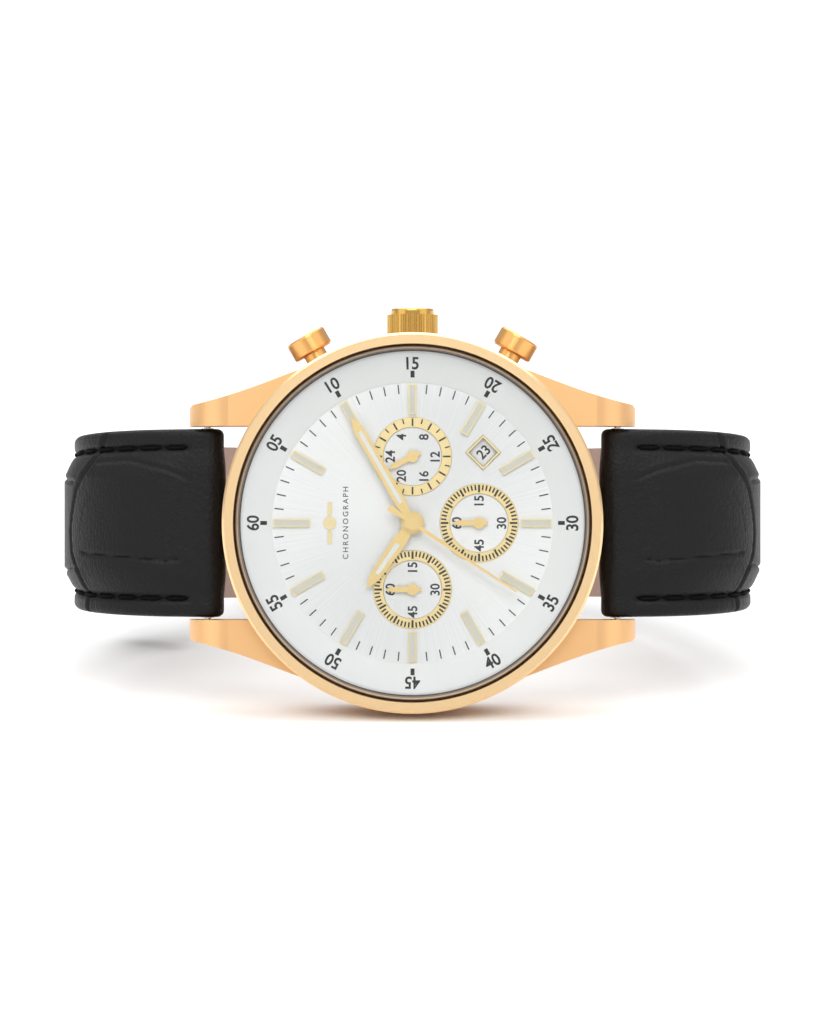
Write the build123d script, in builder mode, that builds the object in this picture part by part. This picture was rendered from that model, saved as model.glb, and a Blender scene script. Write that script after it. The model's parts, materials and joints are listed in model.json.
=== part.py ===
from build123d import *
import os
from math import atan, cos, degrees, radians, sin

# Chronograph wristwatch with an unbuckled leather strap, one solid or group of solids for each piece.
# It is drawn dial up: the dial's face is z = 0, +X points to 6 o'clock and +Y to 3 o'clock.
# At the end the watch is stood on its 9 o'clock side, leaning back on its strap. Millimetres.

os.makedirs("parts", exist_ok=True)

# ---- driving dimensions ----
CASE_RADIUS = 20.8
CASE_EDGE_CHAMFER = 0.5
CASE_BOTTOM = -5.0
CASE_TOP = 1.0
CASE_BORE = 19.0
FLANGE_BORE = 19.6
BEZEL_RADIUS = 21.5
BEZEL_BORE = 20.0
BEZEL_TOP = 3.9
CRYSTAL_RADIUS = 19.85
CRYSTAL_BOTTOM = 2.4
CRYSTAL_TOP = 4.0
BACK_RADIUS = 19.8
BACK_BOTTOM = -6.2
BACK_SEAT = -5.02
BACK_INSIDE = -5.3

DIAL_THICKNESS = 0.4
DIAL_RADIUS = 17.7
FLAT_DIAL_RADIUS = 15.95
SUBDIAL_PLACE = 7.55
SUBDIAL_OUTER = 4.48
SUBDIAL_INNER = 3.3
SUBDIAL_ANGLES = {"ring_24h": 90, "ring_seconds": 180, "ring_minutes": 270}
DATE_ANGLE = 135
DATE_PLACE = 11.33
DATE_WINDOW = 2.2
MARKER_OUTER = 15.75
MARKER_HEIGHT = 0.45

LUG_GAP = 22.0
LUG_TIP = 25.5
BAR_X = 23.4
BAR_Z = -3.0
BAR_RADIUS = 0.75
BAR_TIP_RADIUS = 0.4
BAR_HOLE_RADIUS = 0.45
STRAP_HOLE_RADIUS = 0.83

CONTROL_Z = -2.0
PUSHER_ANGLES = {"start": 60, "reset": 120}
PUSHER_END = 24.56
PUSHER_HEAD_LENGTH = 2.13
SPRING_SEAT = 18.2
SPRING_LENGTH = 1.4

STRAP_WIDTH_AT_CASE = 21.8
STRAP_NARROWING = 0.06
STRAP_NARROWED_AT = -26.7
STRAP_AT_BAR = 4.2
STRAP_PADDING = 1.2
STRAP_THIN = 2.4
LINING_THICKNESS = 1.0
STRAP_START_DIP = 8.0
# Stretches of each half's centre line from its spring bar: (length, degrees of inward turn).
STRAP_12_STRETCHES = ((4.0, 0), (18.8, 87), (31.2, 40), (20.4, 35))
STRAP_6_STRETCHES = ((4.0, 0), (18.8, 87), (53.9, 45), (17.2, 40), (20.5, 0))
STRAP_12_LENGTH = sum(length for length, turn in STRAP_12_STRETCHES)
STRAP_6_LENGTH = sum(length for length, turn in STRAP_6_STRETCHES)
TO_12 = -1
TO_6 = 1

UP = (0, 0, 1)


# ---- places ----
def dial_point(clock_angle, radius):
    """A place over the dial. Clock angles run clockwise from 12 o'clock, in degrees."""
    return (-radius * cos(radians(clock_angle)), radius * sin(radians(clock_angle)))


def spoke(clock_angle, height):
    """A level plane turned so that its +X runs outward at a clock angle."""
    return Plane.XY.offset(height).rotated((0, 0, 180 - clock_angle))


def across(clock_angle, radius, height=CONTROL_Z):
    """A plane that a radial line pierces: its normal points out of the case."""
    outward = Vector(*dial_point(clock_angle, 1), 0)
    return Plane(origin=outward * radius + Vector(0, 0, height), x_dir=UP, z_dir=outward)


def strap_station(stretches, distance):
    """Place and dip of a strap's centre line: x outward, z up, dip in degrees below level."""
    x, z, dip = BAR_X, BAR_Z, STRAP_START_DIP
    for length, turn in stretches:
        step = min(length, distance)
        bend = turn * step / length
        shortening = sin(radians(bend / 2)) / radians(bend / 2) if bend else 1
        x += step * shortening * cos(radians(dip + bend / 2))
        z -= step * shortening * sin(radians(dip + bend / 2))
        dip += bend
        distance -= step
    return x, z, dip


def strap_thickness(distance):
    """Padded past the spring bar, then ever thinner to where the strap passes the buckle."""
    swelling = STRAP_PADDING * min(1, distance / 9)
    thinning = (STRAP_AT_BAR + STRAP_PADDING - STRAP_THIN) * min(1, max(0, (distance - 24) / 38))
    return STRAP_AT_BAR + swelling - thinning


def strap_point(side, stretches, distance, proud):
    """A point of the strap's side view, standing proud of the centre line on the outer side."""
    x, z, dip = strap_station(stretches, distance)
    return (side * (x + proud * sin(radians(dip))), z + proud * cos(radians(dip)))


def strap_frame(side, stretches, distance, proud=0.0):
    """A plane lying on the strap: +X runs towards its free end and the normal points outward."""
    x, z = strap_point(side, stretches, distance, proud)
    dip = radians(strap_station(stretches, distance)[2])
    return Plane(origin=(x, 0, z), x_dir=(side * cos(dip), 0, -sin(dip)),
                 z_dir=(side * sin(dip), 0, cos(dip)))


def strap_half_width(z):
    return STRAP_WIDTH_AT_CASE / 2 + STRAP_NARROWING * max(z, STRAP_NARROWED_AT)


def gear_outline(teeth, module, start=0.0):
    """Toothed outline in the open sketch, with straight flanks and running backlash."""
    pitch = teeth * module / 2
    root = pitch - 1.2 * module
    tip = pitch + 0.8 * module
    Circle(root)
    with PolarLocations(0, teeth, start):
        Polygon((root * 0.9, -0.85 * module), (tip, -0.35 * module), (tip, 0.35 * module),
                (root * 0.9, 0.85 * module), align=None)


# ---- case ----
with BuildPart() as lug:
    with BuildSketch(Plane.XY.offset(-7)):
        with BuildLine():
            Spline((12.2, 17.65), (16.0, 16.2), (19.9, 14.8), (25.1, 13.45))
            Polyline((25.1, 13.45), (LUG_TIP, 13.0), (LUG_TIP, LUG_GAP / 2), (17.0, LUG_GAP / 2),
                     (12.2, 15.5), (12.2, 17.65))
        make_face()
    extrude(amount=9)
    with BuildSketch(Plane.XZ.offset(-20)):
        with BuildLine():
            Line((10, 0.95), (20.9, 0.95))
            ThreePointArc((20.9, 0.95), (24.1, -0.75), (LUG_TIP, -3.9))
            Line((LUG_TIP, -3.9), (25.3, -5.3))
            ThreePointArc((25.3, -5.3), (21.5, -5.5), (17.0, -4.6))
            Polyline((17.0, -4.6), (10, -4.6), (10, 0.95))
        make_face()
    extrude(amount=20, mode=Mode.INTERSECT)

with BuildPart() as case_middle:
    with BuildSketch(Plane.XZ):
        with BuildLine():
            Polyline((0, CASE_BOTTOM), (CASE_RADIUS - CASE_EDGE_CHAMFER, CASE_BOTTOM),
                     (CASE_RADIUS, CASE_BOTTOM + CASE_EDGE_CHAMFER), (CASE_RADIUS, CASE_TOP), (0, CASE_TOP),
                     close=True)
        make_face()
    revolve(axis=Axis.Z)
    add(lug.part)
    add(mirror(lug.part, about=Plane.YZ))
    add(mirror(lug.part, about=Plane.XZ))
    add(mirror(mirror(lug.part, about=Plane.YZ), about=Plane.XZ))
    with BuildSketch(Plane.XZ):
        with BuildLine():
            Polyline((0, CASE_BOTTOM), (CASE_BORE, CASE_BOTTOM), (CASE_BORE, -DIAL_THICKNESS),
                     (FLANGE_BORE, -DIAL_THICKNESS), (FLANGE_BORE, CASE_TOP), (0, CASE_TOP), close=True)
        make_face()
    revolve(axis=Axis.Z, mode=Mode.SUBTRACT)
    with BuildSketch(Plane.XZ):
        with Locations((BAR_X, BAR_Z), (-BAR_X, BAR_Z)):
            Circle(BAR_HOLE_RADIUS)
    extrude(amount=12.3, both=True, mode=Mode.SUBTRACT)
    with BuildSketch(across(90, 18.0)):
        Circle(1.5)
    extrude(amount=4, mode=Mode.SUBTRACT)
    for pusher_angle in PUSHER_ANGLES.values():
        with BuildSketch(across(pusher_angle, 18.0)):
            Circle(1.75)
        extrude(amount=4, mode=Mode.SUBTRACT)
case_middle.part.label = "case_middle"

with BuildPart() as bezel:
    with BuildSketch(Plane.XZ):
        with BuildLine():
            Polyline((BEZEL_BORE, CASE_TOP), (BEZEL_RADIUS, CASE_TOP), (BEZEL_RADIUS, BEZEL_TOP - 0.35),
                     (BEZEL_RADIUS - 0.25, BEZEL_TOP), (BEZEL_BORE + 0.22, BEZEL_TOP),
                     (BEZEL_BORE, BEZEL_TOP - 0.5), close=True)
        make_face()
    revolve(axis=Axis.Z)
bezel.part.label = "bezel"

with BuildPart() as crystal:
    with BuildSketch(Plane.XY.offset(CRYSTAL_BOTTOM)):
        Circle(CRYSTAL_RADIUS)
    extrude(amount=CRYSTAL_TOP - CRYSTAL_BOTTOM)
    chamfer(crystal.edges().group_by(Axis.Z)[-1], 0.2)
crystal.part.label = "crystal"

with BuildPart() as crystal_gasket:
    with BuildSketch(Plane.XZ):
        with BuildLine():
            Polyline((19.45, 2.12), (19.98, 2.12), (19.98, 3.4), (19.88, 3.4), (19.88, 2.38), (19.45, 2.38),
                     close=True)
        make_face()
    revolve(axis=Axis.Z)
crystal_gasket.part.label = "crystal_gasket"

with BuildPart() as case_back:
    with BuildSketch(Plane.XZ):
        with BuildLine():
            Polyline((0, BACK_BOTTOM), (BACK_RADIUS - 0.6, BACK_BOTTOM), (BACK_RADIUS, BACK_BOTTOM + 0.6),
                     (BACK_RADIUS, BACK_SEAT), (18.5, BACK_SEAT), (18.5, -4.35), (17.4, -4.35),
                     (17.4, BACK_INSIDE), (0, BACK_INSIDE), close=True)
        make_face()
    revolve(axis=Axis.Z)
    with BuildSketch(Plane.XY.offset(BACK_BOTTOM)):
        with PolarLocations(BACK_RADIUS - 0.4, 6):
            Rectangle(1.6, 2.4)
    extrude(amount=0.5, mode=Mode.SUBTRACT)
case_back.part.label = "case_back"

with BuildPart() as case_back_gasket:
    with BuildSketch(Plane.XY.offset(-4.95)):
        Circle(18.95)
        Circle(18.55, mode=Mode.SUBTRACT)
    extrude(amount=0.45)
case_back_gasket.part.label = "case_back_gasket"

# ---- dial and what stands on it ----
with BuildPart() as dial:
    with BuildSketch(Plane.XY.offset(-DIAL_THICKNESS)):
        Circle(DIAL_RADIUS)
        Circle(1.0, mode=Mode.SUBTRACT)
        with Locations(*[dial_point(angle, SUBDIAL_PLACE) for angle in SUBDIAL_ANGLES.values()]):
            Circle(0.32, mode=Mode.SUBTRACT)
    extrude(amount=DIAL_THICKNESS)
    with BuildSketch(spoke(DATE_ANGLE, -DIAL_THICKNESS)):
        with Locations((DATE_PLACE, 0)):
            Rectangle(DATE_WINDOW, DATE_WINDOW)
    extrude(amount=DIAL_THICKNESS, mode=Mode.SUBTRACT)
    with BuildSketch(Plane.XY):
        with Locations(*[dial_point(angle, SUBDIAL_PLACE) for angle in SUBDIAL_ANGLES.values()]):
            Circle(SUBDIAL_INNER)
    extrude(amount=-0.1, mode=Mode.SUBTRACT)
dial.part.label = "dial"

with BuildPart() as chapter_ring:
    with BuildSketch(Plane.XZ):
        with BuildLine():
            Polyline((FLAT_DIAL_RADIUS, 0), (19.5, 0), (19.5, 2.05), (19.2, 2.05), (FLAT_DIAL_RADIUS, 0.12),
                     close=True)
        make_face()
    revolve(axis=Axis.Z)
chapter_ring.part.label = "chapter_ring"

with BuildPart() as hour_markers:
    for hour in range(12):
        inner = 12.35 if hour in (3, 6, 9) else 11.65
        with BuildSketch(spoke(30 * hour, 0)):
            with Locations(((inner + MARKER_OUTER) / 2, 0)):
                Rectangle(MARKER_OUTER - inner, 0.9)
        extrude(amount=MARKER_HEIGHT)
        with BuildSketch(spoke(30 * hour, MARKER_HEIGHT)):
            with Locations(((inner + MARKER_OUTER) / 2, 0)):
                Rectangle(MARKER_OUTER - inner - 0.34, 0.56)
        extrude(amount=-0.25, mode=Mode.SUBTRACT)
hour_markers.part.label = "hour_markers"


def subdial_ring(clock_angle):
    """Flat applied ring with a bevelled inner edge."""
    with BuildPart() as ring:
        with BuildSketch(Plane.XY):
            with Locations(dial_point(clock_angle, SUBDIAL_PLACE)):
                Circle(SUBDIAL_OUTER)
                Circle(SUBDIAL_INNER, mode=Mode.SUBTRACT)
        extrude(amount=0.15)
        chamfer(ring.edges().group_by(Axis.Z)[-1], 0.06)
    return ring.part


ring_24h = subdial_ring(SUBDIAL_ANGLES["ring_24h"])
ring_24h.label = "ring_24h"
ring_seconds = subdial_ring(SUBDIAL_ANGLES["ring_seconds"])
ring_seconds.label = "ring_seconds"
ring_minutes = subdial_ring(SUBDIAL_ANGLES["ring_minutes"])
ring_minutes.label = "ring_minutes"

with BuildPart() as date_frame:
    with BuildSketch(spoke(DATE_ANGLE, 0)):
        with Locations((DATE_PLACE, 0)):
            Rectangle(2.9, 2.9)
            Rectangle(DATE_WINDOW, DATE_WINDOW, mode=Mode.SUBTRACT)
    extrude(amount=0.3)
    chamfer(date_frame.edges().group_by(Axis.Z)[-1], 0.08)
date_frame.part.label = "date_frame"

with BuildPart() as emblem:
    with BuildSketch(spoke(0, 0)):
        with Locations((9.4, 0)):
            Circle(0.75)
        with Locations((9.4, 1.65), (9.4, -1.65)):
            RectangleRounded(0.5, 1.5, 0.2)
    extrude(amount=0.2)
emblem.part.label = "emblem"

with BuildPart() as date_disc:
    with BuildSketch(Plane.XY.offset(-0.75)):
        Circle(12.9)
        Circle(9.9, mode=Mode.SUBTRACT)
        with PolarLocations(9.9, 31):
            RegularPolygon(0.5, 3, mode=Mode.SUBTRACT)
    extrude(amount=0.25)
date_disc.part.label = "date_disc"

# ---- movement ----
STEM_SLOT = (0, 14.0)
MINUTE_WHEEL_PLACE = dial_point(0, 4.8)

with BuildPart() as movement_ring:
    with BuildSketch(Plane.XY.offset(-4.3)):
        Circle(18.9)
        Circle(16.5, mode=Mode.SUBTRACT)
    extrude(amount=4.3 - DIAL_THICKNESS)
    with BuildSketch(across(90, 16.0)):
        Circle(1.0)
    extrude(amount=4, mode=Mode.SUBTRACT)
    for pusher_angle in PUSHER_ANGLES.values():
        with BuildSketch(across(pusher_angle, 16.0)):
            Circle(1.9)
        extrude(amount=4, mode=Mode.SUBTRACT)
movement_ring.part.label = "movement_ring"

with BuildPart() as main_plate:
    with BuildSketch(Plane.XY.offset(-2.2)):
        Circle(16.3)
        Circle(0.4, mode=Mode.SUBTRACT)
        with Locations(*[dial_point(angle, SUBDIAL_PLACE) for angle in SUBDIAL_ANGLES.values()]):
            Circle(0.3, mode=Mode.SUBTRACT)
        with Locations(STEM_SLOT):
            Rectangle(1.4, 6.4, mode=Mode.SUBTRACT)
    extrude(amount=0.8)
    with BuildSketch(Plane.XY.offset(-1.4)):
        Circle(14.0)
        Circle(13.0, mode=Mode.SUBTRACT)
        with Locations(STEM_SLOT):
            Rectangle(1.4, 6.4, mode=Mode.SUBTRACT)
        with Locations(MINUTE_WHEEL_PLACE):
            Circle(0.3)
    extrude(amount=0.85)
main_plate.part.label = "main_plate"

BATTERY_PLACE = (-4.5, -7.8)
BATTERY_RADIUS = 4.75
COIL_PLACE = (7.5, -8.5)
COIL_TURN = 42
BRIDGE_PLACE = (1.5, 4.5)
BRIDGE_SCREWS = ((-3.6, 7.6), (6.8, 7.2), (4.4, -0.8), (-3.6, 1.2))

with BuildPart() as circuit_board:
    with BuildSketch(Plane.XY.offset(-2.45)):
        Circle(15.6)
        Circle(0.6, mode=Mode.SUBTRACT)
        with Locations(BATTERY_PLACE):
            Circle(BATTERY_RADIUS + 0.25, mode=Mode.SUBTRACT)
        with Locations(Location((*COIL_PLACE, 0), (0, 0, COIL_TURN))):
            Rectangle(8.0, 3.0, mode=Mode.SUBTRACT)
        with Locations(*[dial_point(angle, SUBDIAL_PLACE) for angle in SUBDIAL_ANGLES.values()]):
            Circle(0.6, mode=Mode.SUBTRACT)
        with Locations(*BRIDGE_SCREWS):
            Circle(0.9, mode=Mode.SUBTRACT)
        with Locations(STEM_SLOT):
            Rectangle(1.6, 6.6, mode=Mode.SUBTRACT)
    extrude(amount=0.22)
circuit_board.part.label = "circuit_board"

with BuildPart() as train_bridge:
    with BuildSketch(Plane.XY.offset(-3.6)):
        with Locations(BRIDGE_PLACE):
            Circle(7.4)
    extrude(amount=0.5)
    with BuildSketch(Plane.XY.offset(-3.1)):
        with Locations(*BRIDGE_SCREWS):
            Circle(0.8)
    extrude(amount=0.9)
    with BuildSketch(Plane.XY.offset(-3.6)):
        with Locations(*BRIDGE_SCREWS):
            Circle(0.35)
    extrude(amount=1.1, mode=Mode.SUBTRACT)
train_bridge.part.label = "train_bridge"

with BuildPart() as movement_screws:
    with BuildSketch(Plane.XY.offset(-3.95)):
        with Locations(*BRIDGE_SCREWS):
            Circle(0.75)
    extrude(amount=0.35)
    with BuildSketch(Plane.XY.offset(-3.95)):
        with Locations(*BRIDGE_SCREWS):
            Rectangle(1.6, 0.2)
    extrude(amount=0.15, mode=Mode.SUBTRACT)
    with BuildSketch(Plane.XY.offset(-3.6)):
        with Locations(*BRIDGE_SCREWS):
            Circle(0.34)
    extrude(amount=1.0)
movement_screws.part.label = "movement_screws"

with BuildPart() as coil_block:
    with BuildSketch(Plane.XY.offset(-3.7)):
        with Locations(Location((*COIL_PLACE, 0), (0, 0, COIL_TURN))):
            Rectangle(10.0, 1.2)
            with Locations((3.9, 0), (-3.9, 0)):
                Rectangle(1.4, 2.6)
    extrude(amount=0.6)
    with BuildSketch(Plane(origin=(*COIL_PLACE, -3.4), x_dir=UP,
                           z_dir=(cos(radians(COIL_TURN)), sin(radians(COIL_TURN)), 0))):
        Circle(1.1)
    extrude(amount=2.9, both=True)
coil_block.part.label = "coil_block"

with BuildPart() as battery_cell:
    with BuildSketch(Plane.XY.offset(-4.4)):
        with Locations(BATTERY_PLACE):
            Circle(BATTERY_RADIUS)
    extrude(amount=2.15)
    fillet(battery_cell.edges().group_by(Axis.Z)[0], 0.3)
battery_cell.part.label = "battery_cell"

with BuildPart() as battery_clamp:
    with BuildSketch(Plane.XY.offset(-4.62)):
        with Locations(BATTERY_PLACE):
            Rectangle(13.2, 2.6)
    extrude(amount=0.2)
    with BuildSketch(Plane.XY.offset(-4.62)):
        with Locations(BATTERY_PLACE):
            with Locations((6.1, 0), (-6.1, 0)):
                Rectangle(1.0, 2.6)
    extrude(amount=4.62 - 2.47)
battery_clamp.part.label = "battery_clamp"

with BuildPart() as minute_wheel:
    with BuildSketch(Plane.XY.offset(-1.3)):
        with Locations(MINUTE_WHEEL_PLACE):
            gear_outline(36, 0.2, 5)
            Circle(0.35, mode=Mode.SUBTRACT)
    extrude(amount=0.25)
    with BuildSketch(Plane.XY.offset(-1.05)):
        with Locations(MINUTE_WHEEL_PLACE):
            gear_outline(10, 0.192, 18)
            Circle(0.35, mode=Mode.SUBTRACT)
    extrude(amount=0.38)
minute_wheel.part.label = "minute_wheel"

with BuildPart() as cannon_pinion:
    with BuildSketch(Plane.XY.offset(-1.35)):
        gear_outline(12, 0.2)
        Circle(0.3, mode=Mode.SUBTRACT)
    extrude(amount=0.32)
    with BuildSketch(Plane.XY.offset(-1.03)):
        Circle(0.55)
        Circle(0.3, mode=Mode.SUBTRACT)
    extrude(amount=2.63)
cannon_pinion.part.label = "cannon_pinion"

with BuildPart() as hour_wheel:
    with BuildSketch(Plane.XY.offset(-0.98)):
        gear_outline(40, 0.192)
        Circle(0.62, mode=Mode.SUBTRACT)
    extrude(amount=0.3)
    with BuildSketch(Plane.XY.offset(-0.68)):
        Circle(0.9)
        Circle(0.62, mode=Mode.SUBTRACT)
    extrude(amount=1.73)
hour_wheel.part.label = "hour_wheel"

with BuildPart() as seconds_arbor:
    with BuildSketch(Plane.XY.offset(-2.9)):
        Circle(0.24)
    extrude(amount=4.95)
seconds_arbor.part.label = "seconds_arbor"

# ---- hands ----
HOUR_ANGLE = 305
MINUTE_ANGLE = 60
SECONDS_ANGLE = 213.5
HAND_24H_ANGLE = 332.5

with BuildPart() as hour_hand:
    with BuildSketch(spoke(HOUR_ANGLE, 0.85)):
        Circle(1.3)
        Polygon((0, -0.5), (2.7, -0.79), (7.5, -0.61), (9.2, 0), (7.5, 0.61), (2.7, 0.79), (0, 0.5),
                align=None)
        Circle(0.9, mode=Mode.SUBTRACT)
        Polygon((2.85, -0.29), (7.1, -0.24), (7.1, 0.24), (2.85, 0.29), align=None, mode=Mode.SUBTRACT)
    extrude(amount=0.2)
hour_hand.part.label = "hour_hand"

with BuildPart() as minute_hand:
    with BuildSketch(spoke(MINUTE_ANGLE, 1.4)):
        Circle(1.1)
        Polygon((0, -0.35), (0.95, -0.35), (2.6, -0.63), (12.2, -0.6), (13.9, 0), (12.2, 0.6), (2.6, 0.63),
                (0.95, 0.35), (0, 0.35), align=None)
        Circle(0.55, mode=Mode.SUBTRACT)
        Polygon((2.6, -0.25), (12.0, -0.25), (12.0, 0.25), (2.6, 0.25), align=None, mode=Mode.SUBTRACT)
    extrude(amount=0.2)
minute_hand.part.label = "minute_hand"

with BuildPart() as seconds_hand:
    with BuildSketch(spoke(SECONDS_ANGLE, 1.85)):
        Circle(0.85)
        Polygon((-3.2, -0.4), (-1.4, -0.25), (0, -0.23), (14.1, -0.1), (14.1, 0.1), (0, 0.23), (-1.4, 0.25),
                (-3.2, 0.4), align=None)
        Circle(0.24, mode=Mode.SUBTRACT)
    extrude(amount=0.16)
seconds_hand.part.label = "seconds_hand"


def small_hand(subdial_angle, hand_angle):
    """Sub-dial hand with its own arbor through the dial, turned to a clock angle."""
    centre = Vector(*dial_point(subdial_angle, SUBDIAL_PLACE), 0)
    turned = Plane(origin=centre, z_dir=UP).rotated((0, 0, 180 - hand_angle))
    with BuildPart() as hand:
        with BuildSketch(turned.offset(0.35)):
            Circle(0.65)
            Polygon((-1.0, -0.18), (0, -0.3), (2.3, -0.3), (3.2, 0), (2.3, 0.3), (0, 0.3), (-1.0, 0.18),
                    align=None)
        extrude(amount=0.15)
        with BuildSketch(turned.offset(-2.3)):
            Circle(0.2)
        extrude(amount=2.9)
    return hand.part


hand_24h = small_hand(SUBDIAL_ANGLES["ring_24h"], HAND_24H_ANGLE)
hand_24h.label = "hand_24h"
chrono_seconds_hand = small_hand(SUBDIAL_ANGLES["ring_seconds"], 0)
chrono_seconds_hand.label = "chrono_seconds_hand"
chrono_minutes_hand = small_hand(SUBDIAL_ANGLES["ring_minutes"], 0)
chrono_minutes_hand.label = "chrono_minutes_hand"

# ---- crown and pushers ----
with BuildPart() as crown_tube:
    with BuildSketch(across(90, 18.95)):
        Circle(1.5)
        Circle(1.05, mode=Mode.SUBTRACT)
    extrude(amount=4.0)
crown_tube.part.label = "crown_tube"

with BuildPart() as crown:
    with BuildSketch(across(90, 21.2)):
        Circle(2.9)
        with PolarLocations(2.97, 30):
            Circle(0.2, mode=Mode.SUBTRACT)
    extrude(amount=2.5)
    with BuildSketch(across(90, 23.7)):
        Circle(2.45)
    extrude(amount=0.7)
    fillet(crown.edges().sort_by(Axis.Y)[-1], 0.25)
    with BuildSketch(across(90, 21.2)):
        Circle(1.95)
    extrude(amount=2.3, mode=Mode.SUBTRACT)
crown.part.label = "crown"

with BuildPart() as winding_stem:
    with BuildSketch(across(90, 11.5)):
        Circle(0.45)
    extrude(amount=12.0)
winding_stem.part.label = "winding_stem"

with BuildPart() as crown_gasket:
    with BuildSketch(across(90, 21.5)):
        Circle(1.92)
        Circle(1.53, mode=Mode.SUBTRACT)
    extrude(amount=0.4)
crown_gasket.part.label = "crown_gasket"


def pusher_tube(clock_angle):
    """Tube through the case wall: a spring seat with a small hole, then the guide bore."""
    with BuildPart() as tube:
        with BuildSketch(across(clock_angle, 17.9)):
            Circle(1.75)
            Circle(0.52, mode=Mode.SUBTRACT)
        extrude(amount=3.0)
        with BuildSketch(across(clock_angle, SPRING_SEAT)):
            Circle(1.36)
        extrude(amount=2.7, mode=Mode.SUBTRACT)
    return tube.part


def pusher(clock_angle):
    """Button head, guided shank and thin stem."""
    with BuildPart() as button:
        with BuildSketch(across(clock_angle, PUSHER_END)):
            Circle(2.35)
        extrude(amount=-PUSHER_HEAD_LENGTH)
        fillet(button.edges().filter_by(GeomType.CIRCLE), 0.28)
        with BuildSketch(across(clock_angle, SPRING_SEAT + SPRING_LENGTH)):
            Circle(1.3)
        extrude(amount=3.0)
        with BuildSketch(across(clock_angle, 17.45)):
            Circle(0.45)
        extrude(amount=2.3)
    return button.part


def pusher_clip(clock_angle):
    with BuildPart() as clip:
        with BuildSketch(across(clock_angle, 17.6)):
            Circle(0.9)
            Circle(0.45, mode=Mode.SUBTRACT)
            with Locations((0, 0.9)):
                Rectangle(0.5, 1.4, mode=Mode.SUBTRACT)
        extrude(amount=0.2)
    return clip.part


def pusher_spring(clock_angle):
    """Compression spring round the thin stem, between the seat and the shank."""
    wire = 0.11
    seat = across(clock_angle, SPRING_SEAT + 2 * wire)
    coil = seat.location * Helix(pitch=0.46, height=SPRING_LENGTH - 4 * wire, radius=0.95)
    with BuildPart() as spring:
        with BuildSketch(Plane(origin=coil @ 0, z_dir=coil % 0)):
            Circle(wire)
        sweep(path=coil)
    return spring.part


start_pusher_tube = pusher_tube(PUSHER_ANGLES["start"])
start_pusher_tube.label = "start_pusher_tube"
start_pusher = pusher(PUSHER_ANGLES["start"])
start_pusher.label = "start_pusher"
start_pusher_clip = pusher_clip(PUSHER_ANGLES["start"])
start_pusher_clip.label = "start_pusher_clip"
start_pusher_spring = pusher_spring(PUSHER_ANGLES["start"])
start_pusher_spring.label = "start_pusher_spring"
reset_pusher_tube = pusher_tube(PUSHER_ANGLES["reset"])
reset_pusher_tube.label = "reset_pusher_tube"
reset_pusher = pusher(PUSHER_ANGLES["reset"])
reset_pusher.label = "reset_pusher"
reset_pusher_clip = pusher_clip(PUSHER_ANGLES["reset"])
reset_pusher_clip.label = "reset_pusher_clip"
reset_pusher_spring = pusher_spring(PUSHER_ANGLES["reset"])
reset_pusher_spring.label = "reset_pusher_spring"


# ---- strap ----
def spring_bar(x, z, half_length, tip_length):
    """Telescopic bar: a tube with a thinner tip at each end, along Y."""
    with BuildPart() as bar:
        with BuildSketch(Plane.XZ):
            with Locations((x, z)):
                Circle(BAR_RADIUS)
        extrude(amount=half_length, both=True)
        with BuildSketch(Plane.XZ):
            with Locations((x, z)):
                Circle(BAR_TIP_RADIUS)
        extrude(amount=half_length + tip_length, both=True)
    return bar.part


def strap_layer(side, stretches, length, lower, upper, first, bar_loops):
    """One leather layer between two heights, each a share of the half thickness plus an offset.

    bar_loops lists (distance, loop radius) for each bar that the leather is folded round.
    """
    def edge(share, offset):
        stations = 16
        places = [first + (length - first) * step / stations for step in range(stations + 1)]
        return [strap_point(side, stretches, place, share * strap_thickness(place) / 2 + offset)
                for place in places]

    with BuildPart() as layer:
        with BuildSketch(Plane.XZ):
            with BuildLine():
                top = Spline(*edge(*upper))
                bottom = Spline(*edge(*lower))
                Line(top @ 0, bottom @ 0)
                Line(top @ 1, bottom @ 1)
            make_face()
            for distance, radius in bar_loops:
                with Locations(strap_point(side, stretches, distance, 0)):
                    Circle(radius)
        extrude(amount=STRAP_WIDTH_AT_CASE / 2, both=True)
        with BuildSketch(Plane.YZ):
            Polygon(*[(strap_half_width(z), z) for z in (3, STRAP_NARROWED_AT, -80)],
                    *[(-strap_half_width(z), z) for z in (-80, STRAP_NARROWED_AT, 3)], align=None)
        extrude(amount=50, both=True, mode=Mode.INTERSECT)
    return layer.part


THROUGH_STRAP = 12
LOOP_AT_CASE = STRAP_AT_BAR / 2
LOOP_AT_BUCKLE = 1.6
TONGUE_SLOT = (9.0, 3.0)
UPPER_FACE = (1, 0)
LINING_FACE = (-1, LINING_THICKNESS)
INNER_FACE = (-1, 0)

with BuildPart() as strap_12_top:
    add(strap_layer(TO_12, STRAP_12_STRETCHES, STRAP_12_LENGTH, LINING_FACE, UPPER_FACE, 0,
                    ((0, LOOP_AT_CASE), (STRAP_12_LENGTH, LOOP_AT_BUCKLE))))
    with BuildSketch(Plane.XZ):
        with Locations((-BAR_X, BAR_Z), strap_point(TO_12, STRAP_12_STRETCHES, STRAP_12_LENGTH, 0)):
            Circle(STRAP_HOLE_RADIUS)
    extrude(amount=THROUGH_STRAP, both=True, mode=Mode.SUBTRACT)
    with BuildSketch(strap_frame(TO_12, STRAP_12_STRETCHES, STRAP_12_LENGTH)):
        with Locations((-2.0, 0)):
            SlotOverall(*TONGUE_SLOT)
    extrude(amount=4, both=True, mode=Mode.SUBTRACT)
strap_12_top.part.label = "strap_12_top"

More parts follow.
